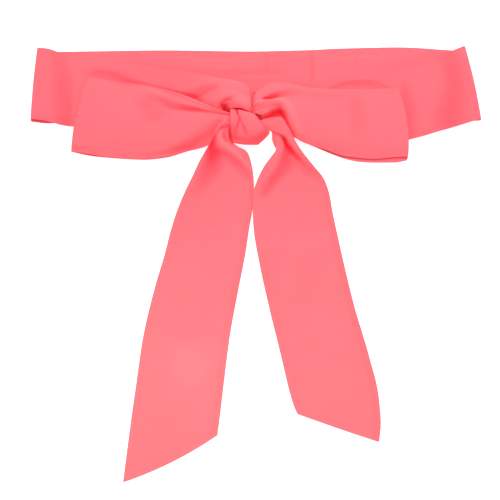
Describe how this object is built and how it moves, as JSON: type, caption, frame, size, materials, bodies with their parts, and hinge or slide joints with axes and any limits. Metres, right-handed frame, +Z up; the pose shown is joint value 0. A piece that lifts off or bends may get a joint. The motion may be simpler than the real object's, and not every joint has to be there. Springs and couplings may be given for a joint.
{
  "type": "chiffon sash",
  "caption": "Ribbon-like chiffon sash tied in a bow and laid flat: a pressed waist loop, a knot, a soft loop to each side and long tails with slanted ends.",
  "frame": {"origin": "middle of the laid-out sash's bounding box, on the surface it lies on", "axes": "+Z up from the table, +X along the waist towards the wearer's left as worn in front, +Y from the tails towards the waist's upper edge"},
  "size_m": [0.4222, 0.4166, 0.021],
  "materials": {
    "chiffon": "matte coral chiffon, double layer, with a fine weave and a soft bloom"
  },
  "bodies": {
    "root": {"waist_back": "chiffon", "waist_front_left": "chiffon", "waist_front_right": "chiffon", "bow_loop_left": "chiffon", "bow_loop_right": "chiffon", "knot_core": "chiffon", "knot_wrap": "chiffon", "tail_left": "chiffon", "tail_right": "chiffon"}
  },
  "joints": []
}
